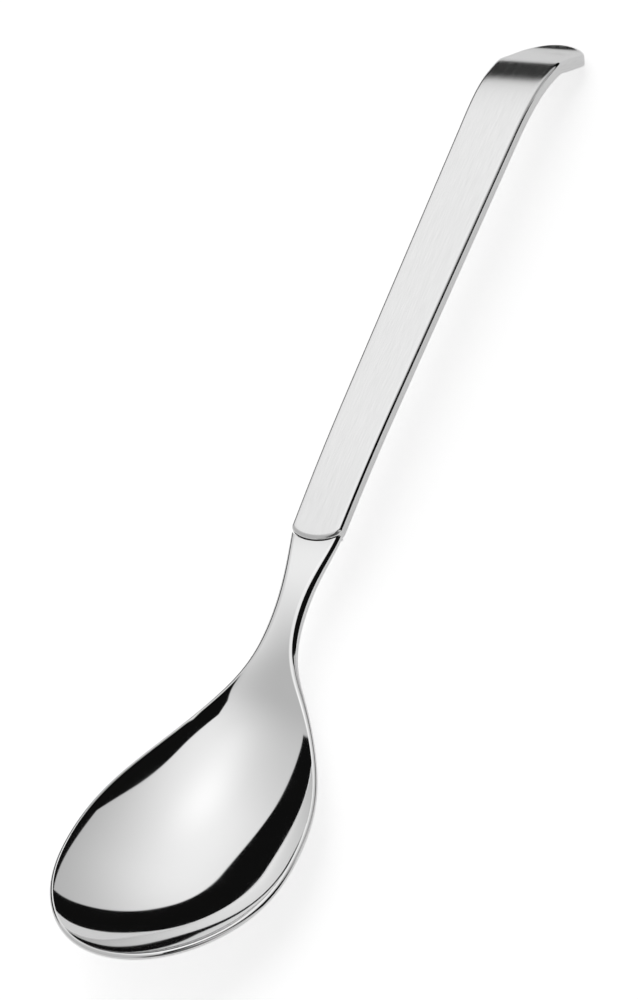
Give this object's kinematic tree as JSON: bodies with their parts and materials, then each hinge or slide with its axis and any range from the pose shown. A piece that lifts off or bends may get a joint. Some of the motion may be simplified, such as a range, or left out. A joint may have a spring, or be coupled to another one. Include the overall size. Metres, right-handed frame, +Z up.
{
  "type": "salad serving spoon",
  "caption": "Stainless steel salad serving spoon with a polished oval bowl, a slim neck and a flat brushed hollow handle that bends down into a hook.",
  "frame": {"origin": "on the surface that the spoon lies on, under the middle of its length", "axes": "+X from the bowl to the hook, +Z up out of the bowl"},
  "size_m": [0.3068, 0.06, 0.0202],
  "materials": {
    "polished_steel": "mirror-polished stainless steel",
    "brushed_steel": "fine lengthwise brushed stainless steel",
    "filler_cement": "cast resin cement"
  },
  "bodies": {
    "root": {"spoon_head": "polished_steel", "handle_top_shell": "brushed_steel", "handle_bottom_shell": "brushed_steel", "tang_filler": "filler_cement"}
  },
  "joints": []
}
